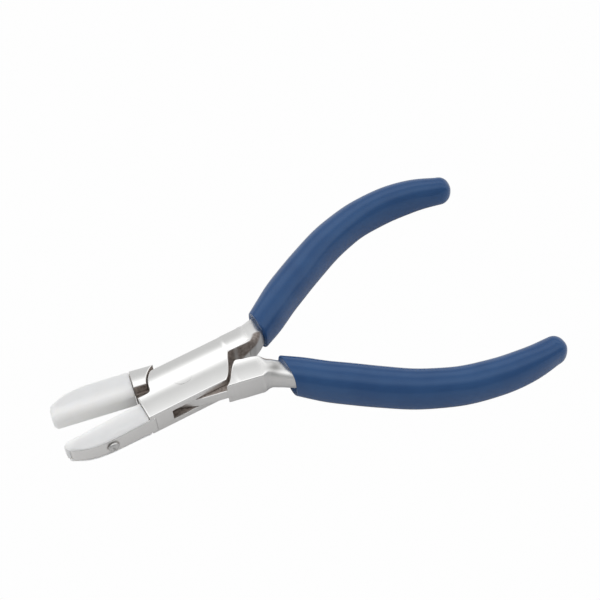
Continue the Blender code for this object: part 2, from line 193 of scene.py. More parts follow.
def crown(y, z):
    """The slightly barrelled top and bottom of the box."""
    top = CROWN_Z - CROWN_R
    up = np.sqrt(y * y + (z - top) ** 2) - CROWN_R
    down = np.sqrt(y * y + (z + top) ** 2) - CROWN_R
    return np.maximum(up, down)


def along(points):
    points = np.asarray(points, float)
    run = np.concatenate([[0.0], np.cumsum(np.linalg.norm(np.diff(points, axis=0), axis=1))])
    return points, run


def near_line(x, y, points, run):
    """Distance along a line, and to its side (left positive)."""
    shape = np.broadcast(x, y).shape
    x = np.broadcast_to(x, shape).ravel()
    y = np.broadcast_to(y, shape).ravel()
    best = np.full(x.size, 1e18)
    at = np.zeros(x.size)
    side = np.zeros(x.size)
    for i in range(len(points) - 1):
        ax, ay = points[i]
        ex, ey = points[i + 1] - points[i]
        n = ex * ex + ey * ey
        wx, wy = x - ax, y - ay
        t = (wx * ex + wy * ey) / n
        lo = -1e9 if i == 0 else 0.0
        hi = 1e9 if i == len(points) - 2 else 1.0
        t = np.clip(t, lo, hi)
        dx, dy = wx - ex * t, wy - ey * t
        d2 = dx * dx + dy * dy
        better = d2 < best
        best = np.where(better, d2, best)
        at = np.where(better, run[i] + t * math.sqrt(n), at)
        side = np.where(better, np.sign(ex * wy - ey * wx) * np.sqrt(d2), side)
    return at.reshape(shape), side.reshape(shape)


# -------------------------------------------------------- surface extraction

def extract(field, low, high, step):
    """Quad mesh of the field's zero level: one point per crossed cell, then
    moved onto the surface along the field's slope."""
    low = np.array(low, float)
    n = np.ceil((np.array(high, float) - low) / step).astype(int) + 1
    gx = low[0] + step * np.arange(n[0])
    gy = low[1] + step * np.arange(n[1])
    gz = low[2] + step * np.arange(n[2])
    value = field(gx[:, None, None], gy[None, :, None], gz[None, None, :])
    value = np.broadcast_to(value, tuple(n)).astype(np.float64)
    sign = value < 0
    cells = np.zeros(tuple(n - 1), np.uint8)
    for i in (0, 1):
        for j in (0, 1):
            for k in (0, 1):
                cells += sign[i:n[0] - 1 + i, j:n[1] - 1 + j, k:n[2] - 1 + k]
    crossed = (cells > 0) & (cells < 8)
    where = np.argwhere(crossed)
    index = np.full(tuple(n - 1), -1, np.int64)
    index[crossed] = np.arange(len(where))
    # first place: the mean of the crossings on the cell's edges
    total = np.zeros((len(where), 3))
    count = np.zeros(len(where))
    corners = [(i, j, k) for i in (0, 1) for j in (0, 1) for k in (0, 1)]
    for a in corners:
        for axis in range(3):
            if a[axis] == 1:
                continue
            b = list(a)
            b[axis] = 1
            va = value[where[:, 0] + a[0], where[:, 1] + a[1], where[:, 2] + a[2]]
            vb = value[where[:, 0] + b[0], where[:, 1] + b[1], where[:, 2] + b[2]]
            hit = (va < 0) != (vb < 0)
            t = np.where(hit, va / np.where(hit, va - vb, 1.0), 0.0)
            p = np.array(a, float)[None, :].repeat(len(where), 0)
            p[:, axis] += t
            total += np.where(hit[:, None], p, 0.0)
            count += hit
    points = low + (where + total / count[:, None]) * step

    def at(p):
        return field(p[:, 0], p[:, 1], p[:, 2])

    def slope(p, h):
        g = np.empty_like(p)
        for axis in range(3):
            q = p.copy()
            q[:, axis] += h
            r = p.copy()
            r[:, axis] -= h
            g[:, axis] = (at(q) - at(r)) / (2 * h)
        return g

    home = points.copy()
    for _ in range(3):
        g = slope(points, step * 0.2)
        m = np.maximum((g * g).sum(1), 0.05)
        points = points - np.clip(at(points) / m, -0.5 * step, 0.5 * step)[:, None] * g
    points = home + np.clip(points - home, -0.75 * step, 0.75 * step)

    quads = []
    for axis in range(3):
        o1, o2 = [a for a in range(3) if a != axis]
        length = [n[0], n[1], n[2]]
        sl_a = [slice(None)] * 3
        sl_b = [slice(None)] * 3
        sl_a[axis] = slice(0, length[axis] - 1)
        sl_b[axis] = slice(1, length[axis])
        for other in (o1, o2):
            sl_a[other] = slice(1, length[other] - 1)
            sl_b[other] = slice(1, length[other] - 1)
        a, b = sign[tuple(sl_a)], sign[tuple(sl_b)]
        hit = np.argwhere(a != b)
        inward = b[tuple(hit.T)]  # the far end is inside
        base = hit.copy()
        base[:, o1] += 1
        base[:, o2] += 1
        ring = []
        for d1, d2 in ((-1, -1), (0, -1), (0, 0), (-1, 0)):
            c = base.copy()
            c[:, o1] += d1
            c[:, o2] += d2
            ring.append(index[tuple(c.T)])
        ring = np.stack(ring, 1)
        if axis == 1:
            inward = ~inward
        ring = np.where(inward[:, None], ring[:, ::-1], ring)
        quads.append(ring)
    quads = np.concatenate(quads)
    assert (quads >= 0).all()
    return points, quads


def swing(points, degrees):
    a = math.radians(degrees)
    c, s = math.cos(a), math.sin(a)
    out = points.copy()
    out[:, 0] = c * points[:, 0] - s * points[:, 1]
    out[:, 1] = s * points[:, 0] + c * points[:, 1]
    return out


def mesh_object(name, points, faces, degrees=0.0):
    """A mesh object with its points in metres in the row frame."""
    world = (swing(points, degrees) + PIVOT) * MM
    mesh = bpy.data.meshes.new(name)
    mesh.vertices.add(len(world))
    mesh.vertices.foreach_set("co", world.astype(np.float32).ravel())
    size = faces.shape[1]
    mesh.loops.add(faces.size)
    mesh.loops.foreach_set("vertex_index", faces.astype(np.int32).ravel())
    mesh.polygons.add(len(faces))
    mesh.polygons.foreach_set("loop_start", np.arange(0, faces.size, size, dtype=np.int32))
    mesh.update(calc_edges=True)
    mesh.validate()
    mesh.shade_smooth()
    made = bpy.data.objects.new(name, mesh)
    bpy.context.scene.collection.objects.link(made)
    return made


def with_normals(made, field, points, degrees, h=0.02):
    """Shading normals from the field's slope, so that rounded edges stay crisp."""
    g = np.empty_like(points)
    for axis in range(3):
        q = points.copy()
        q[:, axis] += h
        r = points.copy()
        r[:, axis] -= h
        g[:, axis] = field(q[:, 0], q[:, 1], q[:, 2]) - field(r[:, 0], r[:, 1], r[:, 2])
    g /= np.maximum(np.linalg.norm(g, axis=1), 1e-9)[:, None]
    g = swing(g, degrees)
    made.data.normals_split_custom_set_from_vertices(g.tolist())


def solid(name, field, low, high, step, degrees, body, node, shade=None):
    points, quads = extract(field, low, high, step)
    made = mesh_object(name, points, quads, degrees)
    if len(made.data.vertices) == len(points):
        with_normals(made, shade or field, points, degrees)
    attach(made, body)
    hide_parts(node)
    return made


class Lookup:
    """A plane function sampled once on a fine grid and read back by interpolation."""

    def __init__(self, function, low, high, step=0.1):
        self.low, self.step = low, step
        nx = int(math.ceil((high[0] - low[0]) / step)) + 2
        ny = int(math.ceil((high[1] - low[1]) / step)) + 2
        x = low[0] + step * np.arange(nx)
        y = low[1] + step * np.arange(ny)
        made = function(x[:, None], y[None, :])
        self.layers = [np.broadcast_to(a, (nx, ny)).copy() for a in (made if isinstance(made, tuple) else (made,))]
        self.n = (nx, ny)

    def __call__(self, x, y):
        u = np.clip((x - self.low[0]) / self.step, 0.0, self.n[0] - 1.001)
        v = np.clip((y - self.low[1]) / self.step, 0.0, self.n[1] - 1.001)
        i, j = u.astype(int), v.astype(int)
        u, v = u - i, v - j
        out = [
            a[i, j] * (1 - u) * (1 - v) + a[i + 1, j] * u * (1 - v) + a[i, j + 1] * (1 - u) * v + a[i + 1, j + 1] * u * v
            for a in self.layers
        ]
        return out[0] if len(out) == 1 else tuple(out)


def ramp(value, start, end):
    t = np.clip((value - start) / (end - start), 0.0, 1.0)
    return t * t * (3 - 2 * t)


STEEL_LOW, STEEL_HIGH = (-38.5, -11.0), (37.0, 21.0)


def outline(points):
    return Lookup(lambda x, y: polygon(x, y, points), STEEL_LOW, STEEL_HIGH)


# --------------------------------------------------------------- shared forms

def taper_at(x):
    run = (BOX_FRONT_X - x) / (BOX_FRONT_X - JAW_TIP_X)
    return 1.0 - JAW_TAPER * np.clip(run, -0.2, 1.1)


PLATE_FLANK = catmull(
    [(-12.0, -PLATE_Y), (-18.0, -PLATE_Y), (-24.0, -PLATE_Y), (-28.5, -7.35), (-31.5, -6.7), (-34.2, -5.6), (-35.7, -4.75)], 8
)
plate_2d = outline([(-12.0, -PLATE_BACK_Y), *map(tuple, PLATE_FLANK), (PLATE_TIP_X, -4.3), (PLATE_TIP_X, -PLATE_BACK_Y)])
handle_line = catmull(HANDLE_LINE, 10)
tang_line = np.vstack([[[16.0, 3.6]], handle_line[: 10 * 3 + 1]])
tang_points, tang_run = along(tang_line)
tang_at = Lookup(lambda x, y: near_line(x, y, tang_points, tang_run), STEEL_LOW, STEEL_HIGH)


def plate(x, y, z):
    return both(plate_2d(x, y), np.abs(z) - PLATE_Z * taper_at(x), 0.35)


def tang(x, y, z, full=0.0):
    """Rounded bar, slimmer inside the grip; full squares it up at the shoulder."""
    s, side = tang_at(x, y)
    scale = 1.0 - (1.0 - TANG_SLIM) * np.clip((x - 25.0) / 6.0, 0.0, 1.0)
    grow = 1.0 - ramp(x, 20.5 + 0.5 * full, 26.5 + 1.5 * full)
    a, b = (TANG_HALF_WIDTH + 0.1 * grow) * scale, (TANG_HALF_DEPTH + (0.7 + 0.4 * full) * grow) * scale
    n = 2.5 + 2.0 * full * grow
    q = (np.abs(side / a) ** n + np.abs(z / b) ** n) ** (1.0 / n)
    d = (q - 1.0) * np.minimum(a, b)
    ends = np.maximum(-s + 0.3, s - tang_run[-1] + 0.3)
    return both(d, ends, 0.3)


# ------------------------------------------------------------------- box half

cheeks_2d = outline([
    (BOX_FRONT_X, -SIDE_Y),
    (9.93, -SIDE_Y),
    *spiral(((-36.7, 12.39), (-29.4, 12.75), (-22.0, 13.1), (-14.7, 13.4), (-4.8, 13.9), (2.0, 15.0)))[1:],
    *map(tuple, catmull([(17.6, 0.75), (19.6, 1.4), (SHOULDER_END_X, 1.95)], 6)),
    (SHOULDER_END_X, 6.1),
    *map(tuple, catmull([(SHOULDER_END_X - 0.05, 6.2), (SHOULDER_END_X - 0.35, 6.75), (SHOULDER_END_X - 0.9, 7.08), (18.5, 7.1)], 6)),
    (10.0, 7.1),
    (-4.6, 7.1),
    *arc(CHEEK_FRONT_R, 131.0, 171.0)[1:],
    *map(tuple, catmull([(-9.38, 1.3), (-9.5, 0.8), (-9.8, 0.3), (-10.3, -0.02), (-11.2, -0.15)], 6)),
    (BOX_FRONT_X, -0.15),
])
slot_2d = outline([
    *arc(SLOT_R, 4.0, 46.4),
    (SLOT_R * math.cos(math.radians(46.4)), 12.0),
    (-20.0, 12.0),
    (-20.0, -0.15),
    *arc(SLOT_R, 181.0, 232.0),
    (SLOT_R * math.cos(math.radians(232.0)), -12.0),
    (SHOULDER_END_X + 0.2, -12.0),
    (SHOULDER_END_X + 0.2, 0.4),
    (14.9, 0.4),
])


def rivet_hole(x, y, r):
    return np.sqrt(x * x + y * y) - r


def box_half(x, y, z):
    body = both(cheeks_2d(x, y), crown(y, z), 0.32)
    body = either(body, plate(x, y, z), 0.12)
    body = either(body, tang(x, y, z, 1.0), 2.0)
    body = both(body, crown(y, z), 0.32)
    body = both(body, y - SIDE_Y + 0.3 - 4.0 * ramp(x, 20.4, 26.0), 0.3)
    # the tails stay clear of each other when closed
    body = both(body, np.interp(x, [12.5, 12.9, 13.85, 14.7, 16.0, 20.0], [-9.0, -3.7, -1.2, 0.38, 0.46, 0.36]) - y, 0.1)
    body = without(body, np.maximum(slot_2d(x, y), np.abs(z) - SLOT_Z), 0.12)
    body = without(body, rivet_hole(x, y, RIVET_R - 0.06 * ramp(np.abs(z), 3.6, 3.9)), 0.0)
    hole = np.sqrt((x - SCREW_X) ** 2 + z * z) - 1.0
    return without(body, np.maximum(hole, y + 2.0), 0.05)


# ----------------------------------------------------------------- tenon half

front_2d = outline([
    (BOX_FRONT_X + 0.1, 0.75),
    *arc(TENON_R + 0.15, 175.3, 131.5),
    (BOX_FRONT_X + 0.1, SIDE_Y),
][::-1])
rear_2d = outline([
    *spiral(((-35.5, 12.8), (-18.6, 13.65), (-7.8, 14.15), (1.4, 15.9))),
    *map(tuple, catmull([(17.6, -0.35), (19.6, -1.0), (SHOULDER_END_X, -1.5)], 6)),
    (SHOULDER_END_X, -6.1),
    *map(tuple, catmull([(SHOULDER_END_X - 0.05, -6.2), (SHOULDER_END_X - 0.35, -6.75), (SHOULDER_END_X - 0.9, -7.15), (18.0, -SIDE_Y)], 6)),
    (17.0, -SIDE_Y),
])
tenon_2d = outline([
    *arc(TENON_R, 178.5, 209.0),
    (-4.2, -5.63),
    (2.3, -7.07),
    (3.8, -SIDE_Y + 0.02),
    (12.0, -SIDE_Y),
    (16.2, -5.6),
    (16.4, -0.2),
    (15.4, 0.3),
    (TENON_R, 0.45),
    *arc(TENON_R, 4.0, 50.0),
    (-8.0, SIDE_Y - 0.05),
    (-13.4, SIDE_Y - 0.6),
    (-13.4, 0.2),
    (-10.1, 0.2),
])


def tenon_half(x, y, z):
    c = crown(y, z)
    body = both(front_2d(x, y), c, 0.32)
    body = either(body, both(rear_2d(x, y), c, 0.32), 0.0)
    body = either(body, both(tenon_2d(x, y), np.abs(z) - TENON_Z, 0.1), 0.15)
    body = either(body, plate(x, -y, z), 0.12)
    body = either(body, tang(x, -y, z), 3.0)
    body = both(body, c, 0.32)
    body = both(body, -y - SIDE_Y - 4.0 * ramp(x, 20.4, 26.0), 0.3)
    body = both(body, y - np.interp(x, [11.0, 12.0, 13.4, 14.2, 16.0, 17.6], [9.0, 0.62, 0.48, -0.1, 0.0, -0.34]), 0.1)
    body = without(body, rivet_hole(x, y, RIVET_R + 0.08), 0.05)
    hole = np.sqrt((x - SCREW_X) ** 2 + z * z) - 1.0
    return without(body, np.maximum(hole, -y + 2.0), 0.05)


def rivet(x, y, z):
    """Peened flush: its ends carry the crown of the box on, a hair proud of it."""
    r = np.sqrt(x * x + y * y)
    spread = 0.55 * ramp(np.abs(z), CROWN_Z - 0.35, CROWN_Z - 0.15)
    return both(r - RIVET_R + 0.02 - spread, crown(y, z) - 0.012 + 0.02 * (r / 2.86) ** 8, 0.005)


# ----------------------------------------------------------------------- pads

def pad_field(lean):
    slope = math.tan(math.radians(CLOSED_EACH - lean))
    tilt = math.cos(math.atan(slope))
    back = catmull([(JAW_TIP_X, -4.1), (JAW_TIP_X + 0.6, -4.78), (-34.2, -5.68), (-31.5, -6.78), (-28.5, -7.42), (-25.0, -PLATE_Y), (-20.0, -PLATE_Y)], 8)
    plan = Lookup(lambda x, y: polygon(x, y, [
        (PAD_REAR_X, 3.0),
        (JAW_TIP_X, 3.0),
        *map(tuple, back),
        *map(tuple, catmull([(PAD_REAR_X - 1.3, -PLATE_Y), (PAD_REAR_X - 0.4, -PLATE_Y + 0.22), (PAD_REAR_X - 0.06, -PLATE_Y + 0.7), (PAD_REAR_X, -PLATE_Y + 1.3)], 6)),
    ]), (-39.0, -11.0), (-11.0, 5.0), 0.08)

    def field(x, y, z):
        t = taper_at(x)
        top = np.abs(z) - t * (PAD_Z - 0.05 * ramp(-y, 4.4, 6.4) - 0.14 * np.clip(-y - 6.4, 0.0, 2.0))
        made = both(top, (y + x * slope + 0.15) * tilt, PAD_EDGE_R)
        made = both(made, plan(x, y), 0.42 + 1.1 * ramp(-x, 33.0, 36.6) - 0.3 * ramp(x, -16.0, -14.6))
        channel = np.maximum(np.maximum(y + PLATE_BACK_Y - 0.08, np.abs(z) - (PLATE_Z + 0.08) * t), y - 9.0)
        made = without(made, channel, 0.1)
        return without(made, np.maximum(np.sqrt((x - SCREW_X) ** 2 + z * z) - 0.98, np.maximum(y + 1.8, -y - 9.0)), 0.05)

    return field


def screw(x, y, z):
    """Domed head with a shallow driver slot, axis along Y."""
    r = np.sqrt((x - SCREW_X) ** 2 + z * z)
    seat = -PLATE_Y - 0.02
    end = seat - 0.28 - SCREW_HEAD_H
    dome = -(y - end) - 0.62 * (1.0 - (r / SCREW_HEAD_R) ** 2) + 0.62
    head = both(both(r - SCREW_HEAD_R, dome, 0.25), y - seat, 0.06)
    shank = both(both(r - 0.93, y + 1.6, 0.2), -y - 8.0, 0.0)
    body = either(head, shank, 0.0)
    u = (x - SCREW_X) * math.cos(0.5) + z * math.sin(0.5)
    return without(body, np.maximum(np.abs(u) - 0.17, y - (end + 0.3)), 0.05)


def inner_mask(made, half):
    """Marks on the steel: 1 on the brownish unpolished faces between the halves, painted darker as
    shade there too, 0 on the ground outside; painted shade in a wedge on each tail's inside face and a painted shadow
    ring round each screw head; satin necks; and darker patches on the necks."""
    mesh = made.data
    co = np.empty(len(mesh.vertices) * 3)
    mesh.vertices.foreach_get("co", co)
    p = swing(co.reshape(-1, 3) / MM - PIVOT, -OPEN_EACH * half)
    x, y, z = p.T
    # brownish unpolished faces between the halves, painted dark as the shade of these recesses too
    unpolished_and_shade = ramp(-crown(y, z), 0.10, 0.30) * (1.0 - ramp(np.abs(y), 7.0, 7.2))
    unpolished_and_shade = unpolished_and_shade * ramp(x, -13.62, -13.4)
    inward = y * half  # negative on the side of the other half's handle
    # painted shade: the tail's inside face is painted dark in a wedge that narrows to the neck, dark towards its top
    edge = np.interp(x, [16.0, 18.5, 21.0, 23.4, 26.3], [0.1, 1.0, 1.9, 2.5, 2.95])
    painted_shade_wall = ramp(x, 16.0, 17.5) * (1.0 - ramp(inward - edge, -0.45, 0.1))
    painted_shade_wedge = ramp(z - (-2.6 + 0.64 * (x - 17.0)), -0.6, 0.6)
    unpolished_and_shade = unpolished_and_shade * (1.0 - ramp(x, 16.0, 17.5)) + ramp(-crown(y, z), 0.10, 0.40) * painted_shade_wall * painted_shade_wedge
    if half < 0:  # the tenon's own side is ground too
        side = np.abs(y + 5.63 + 0.2215 * (x + 4.2)) < 0.14
        unpolished_and_shade = np.where(side & (np.abs(z) < TENON_Z - 0.08) & (x > -8.0) & (x < 10.0), 0.0, unpolished_and_shade)
    # painted shadow: a dark ring on the plate round each screw head
    ring = np.sqrt((x - SCREW_X) ** 2 + z * z)
    unpolished_and_shade = np.maximum(unpolished_and_shade, 0.6 * (1.0 - ramp(ring, 1.7, 1.95)) * (inward < 0))
    # darker patches on the necks: a round one on the tenon half's neck, an even darkening along the box half's neck
    if half < 0:
        scale = 0.75 * np.exp(-(((x - 25.3) / 2.1) ** 2) - ((inward - 5.6) / 1.7) ** 2) * ramp(np.abs(z), 1.2, 2.8)
    else:
        scale = ramp(x, 20.5, 23.0) * 0.18
    for name, value in (("inner_faces_and_shade", np.clip(unpolished_and_shade, 0.0, 1.0)), ("neck", ramp(x, 20.0, 23.0)), ("dark_patch", scale)):
        layer = mesh.attributes.new(name, "FLOAT", "POINT")
        layer.data.foreach_set("value", value.astype(np.float32))


def mirrored(field):
    return lambda x, y, z: field(x, -y, z)


steel_step = 0.205
steel_a = solid("steel_box_half", box_half, (-37.5, -8.6, -5.2), (34.5, 16.5, 5.2), steel_step, OPEN_EACH, BOX_BODY, "box_half")
steel_b = solid("steel_tenon_half", tenon_half, (-37.5, -16.5, -5.2), (34.5, 8.6, 5.2), steel_step, -OPEN_EACH, TENON_BODY, "tenon_half")
inner_mask(steel_a, 1)
inner_mask(steel_b, -1)
rivet_piece = solid(
    "rivet", rivet, (-2.9, -2.9, -5.1), (2.9, 2.9, 5.1), 0.1, OPEN_EACH, BOX_BODY, "pivot_rivet",
    lambda x, y, z: crown(y, z) + 0 * x,  # ground in one pass with the box
)
pad_step = 0.16
pad_a = solid("nylon_pad_box_side", pad_field(PAD_LEAN), (-37.6, -8.5, -4.4), (-13.4, 1.6, 4.4), pad_step, OPEN_EACH, BOX_BODY, "jaw_pad_box_side")
pad_b = solid("nylon_pad_tenon_side", mirrored(pad_field(-PAD_LEAN)), (-37.6, -1.6, -4.4), (-13.4, 8.5, 4.4), pad_step, -OPEN_EACH, TENON_BODY, "jaw_pad_tenon_side")
screw_a = solid("pad_screw_box_side_head", screw, (SCREW_X - 2.0, -9.4, -2.0), (SCREW_X + 2.0, -1.2, 2.0), 0.09, OPEN_EACH, BOX_BODY, "pad_screw_box_side")
screw_b = solid("pad_screw_tenon_side_head", mirrored(screw), (SCREW_X - 2.0, 1.2, -2.0), (SCREW_X + 2.0, 9.4, 2.0), 0.09, -OPEN_EACH, TENON_BODY, "pad_screw_tenon_side")


# ---------------------------------------------------------------------- grips
# A dipped grip is a swept skin: rings of a soft rounded oblong along the
# handle's line, from the slanting dip line to a domed end.

RINGS, SIDES = 190, 96
SECTION_POWER = 2.45
SECTION_SCALE = 0.945


def smooth_steps(share, knots):
    xs = np.array([k[0] for k in knots])
    ys = np.array([k[1] for k in knots])
    fine = catmull(list(zip(xs, ys)), 12)
    return np.interp(share, fine[:, 0], fine[:, 1])


def grip(name, node, side, degrees, body, mouth_x, mouth_lean, centre_line):
    line = catmull(centre_line, 24)
    line = line[line[:, 0] >= 21.5]
    heading = (line[-1] - line[-2]) / np.linalg.norm(line[-1] - line[-2])
    line = np.vstack([line, line[-1] + heading * GRIP_END])
    points, run = along(line)
    straight = run[-2]

    def frame_at(s):
        x = np.interp(s, run, points[:, 0])
        y = np.interp(s, run, points[:, 1])
        e = 1.2
        tx = np.interp(s + e, run, points[:, 0]) - np.interp(s - e, run, points[:, 0])
        ty = np.interp(s + e, run, points[:, 1]) - np.interp(s - e, run, points[:, 1])
        n = np.hypot(tx, ty)
        n = np.where(n < 1e-9, 1.0, n)
        return x, y, tx / n, ty / n

    u = np.linspace(0.0, 2 * math.pi, SIDES, endpoint=False)
    cu, su = np.cos(u), np.sin(u)
    q = (np.abs(cu) ** SECTION_POWER + np.abs(su) ** SECTION_POWER) ** (-1.0 / SECTION_POWER)
    cu, su = cu * q, su * q

    def skin(s, wide=1.0, less=0.0):
        share = np.clip(s / straight, 0.0, 1.0)
        w = smooth_steps(share, GRIP_WIDTHS) * GRIP_HALF_WIDTH * SECTION_SCALE
        past = np.clip((s - straight) / GRIP_END, 0.0, 1.0)
        dome = np.sqrt(np.maximum(1.0 - past**2.2, 0.0))
        x, y, tx, ty = frame_at(np.minimum(s, run[-1] - 1e-6))
        a = (w - less) * dome * wide
        b = (w * GRIP_DEPTH_RATIO - less) * dome * wide
        return np.stack([x - ty * a * cu, y + tx * a * cu, b * su], -1)

    # where each line of the skin meets the slanting dip line
    lean = math.radians(-mouth_lean)
    nx, ny = math.cos(lean), math.sin(lean)

    def past_mouth(p):
        return (p[..., 0] - mouth_x) * nx + (p[..., 1] - 3.0) * ny

    lo, hi = np.full(SIDES, 0.0), np.full(SIDES, 16.0)
    for _ in range(30):
        mid = (lo + hi) / 2
        inside = past_mouth(skin(mid)) > 0
        hi = np.where(inside, mid, hi)
        lo = np.where(inside, lo, mid)
    start = (lo + hi) / 2
    # the dip line is never quite even
    start = start + 0.10 * np.sin(2 * u + 0.7 + side) + 0.05 * np.sin(5 * u + 2.0 * side)
    rings, lengthwise = [], []
    # the lip: from the tang outwards round the edge
    lip = 0.42
    for k in range(4):
        inset = 1.9 * (1 - k / 4) + lip
        rings.append(skin(start + 0.25 * (1 - k / 4) ** 2, 1.0, inset))
        lengthwise.append(start)
    for k in range(7):
        t = math.pi / 2 * k / 6
        rings.append(skin(start + lip * (1 - math.cos(t)), 1.0, lip * (1 - math.sin(t))))
        lengthwise.append(start + lip * (1 - math.cos(t)))
    for k in range(1, RINGS + 1):
        t = k / RINGS
        # closer rings near the domed end
        if t < 0.86:
            s = start + lip + (straight - start - lip) * (t / 0.86)
        else:
            a = (t - 0.86) / 0.14 * math.pi / 2
            s = straight + GRIP_END * math.sin(a) * 0.99999 + 0 * start
        rings.append(skin(s))
        lengthwise.append(s)
    rings = np.array(rings)
    tall = len(rings)
    # soft uneven draw lines of the dipped skin, a few hundredths deep
    s_all = np.array(lengthwise)
    body_mask = ramp(s_all, 1.0, 5.0) * (1.0 - ramp(s_all, straight - 2.0, straight + 2.0))
    rings = rings.copy()
    ripple = body_mask * (0.05 * np.sin(s_all * 0.23 + 3.0 * su[None, :] + side) + 0.03 * np.sin(s_all * 0.51 - 2.0 * cu[None, :]))
    centre = rings.mean(axis=1, keepdims=True)
    out = rings - centre
    out /= np.maximum(np.linalg.norm(out, axis=2, keepdims=True), 1e-6)
    rings += out * ripple[..., None]
    flat = rings.reshape(-1, 3)
    flat = flat.copy()
    flat[:, 1] *= side
    faces = []
    i = np.arange(tall - 1)[:, None]
    j = np.arange(SIDES)[None, :]
    k = (j + 1) % SIDES
    quad = np.stack([i * SIDES + j, i * SIDES + k, (i + 1) * SIDES + k, (i + 1) * SIDES + j], -1).reshape(-1, 4)
    # the box side's grip has its faces wound the other way round
    if side > 0:
        quad = quad[:, ::-1]
    made_points = flat
    made = mesh_object(name, made_points, quad, degrees)
    mesh = made.data
    # the last ring is tiny: close it, and close the mouth behind the tang
    import bmesh
    work = bmesh.new()
    work.from_mesh(mesh)
    open_edges = [e for e in work.edges if e.is_boundary]
    bmesh.ops.holes_fill(work, edges=open_edges, sides=0)
    bmesh.ops.recalc_face_normals(work, faces=work.faces)
    work.to_mesh(mesh)
    work.free()
    mesh.shade_smooth()
    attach(made, body)
    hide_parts(node)
    return made


grip_a = grip("vinyl_grip_box_side", "grip_box_side", 1, OPEN_EACH, BOX_BODY, 26.9, -3.0, HANDLE_LINE)
grip_b = grip("vinyl_grip_tenon_side", "grip_tenon_side", -1, -OPEN_EACH, TENON_BODY, 27.8, 7.0, HANDLE_LINE_TENON)


# ------------------------------------------------------------------ materials

class Nodes:
    """Short hand for building one material's node tree."""

    def __init__(self, name):
        self.material = bpy.data.materials.new(name)
        self.material.use_nodes = True
        self.tree = self.material.node_tree
        self.shader = self.tree.nodes["Principled BSDF"]

    def add(self, kind, **values):
        node = self.tree.nodes.new(kind)
        for key, value in values.items():
            setattr(node, key, value)
        return node

    def link(self, a, b):
        self.tree.links.new(a, b)

    def place(self, scale=(1.0, 1.0, 1.0), turn=0.0):
        """Object space in millimetres."""
        coord = self.add("ShaderNodeTexCoord")
        mapping = self.add("ShaderNodeMapping")
        mapping.inputs["Scale"].default_value = [1000.0 * s for s in scale]
        mapping.inputs["Rotation"].default_value = (0.0, 0.0, math.radians(turn))
        self.link(coord.outputs["Object"], mapping.inputs["Vector"])
        return mapping.outputs["Vector"]

    def noise(self, vector, scale, detail=3.0, roughness=0.5):
        node = self.add("ShaderNodeTexNoise")
        node.inputs["Scale"].default_value = scale
        node.inputs["Detail"].default_value = detail
        node.inputs["Roughness"].default_value = roughness
        self.link(vector, node.inputs["Vector"])
        return node.outputs["Fac"]

    def spread(self, value, low, high, to_low, to_high):
        node = self.add("ShaderNodeMapRange")
        node.inputs["From Min"].default_value = low
        node.inputs["From Max"].default_value = high
        node.inputs["To Min"].default_value = to_low
        node.inputs["To Max"].default_value = to_high
        self.link(value, node.inputs["Value"])
        return node.outputs["Result"]

    def maths(self, operation, a, b=None, clamp=False):
        node = self.add("ShaderNodeMath", operation=operation, use_clamp=clamp)
        for i, value in enumerate((a, b)):
            if value is None:
                continue
            if isinstance(value, (int, float)):
                node.inputs[i].default_value = value
            else:
                self.link(value, node.inputs[i])
        return node.outputs[0]

    def mix(self, share, a, b):
        node = self.add("ShaderNodeMix", data_type="RGBA")
        for value, socket in ((share, node.inputs[0]), (a, node.inputs[6]), (b, node.inputs[7])):
            if isinstance(value, tuple):
                socket.default_value = (*value, 1.0)
            elif isinstance(value, (int, float)):
                socket.default_value = value
            else:
                self.link(value, socket)
        return node.outputs[2]

    def bump(self, height, strength, distance_mm, normal=None):
        node = self.add("ShaderNodeBump")
        node.inputs["Strength"].default_value = strength
        node.inputs["Distance"].default_value = distance_mm * MM
        self.link(height, node.inputs["Height"])
        if normal is not None:
            self.link(normal, node.inputs["Normal"])
        return node.outputs["Normal"]

    def set(self, name, value):
        socket = self.shader.inputs[name]
        if isinstance(value, (int, float, tuple)):
            socket.default_value = value
        else:
            self.link(value, socket)


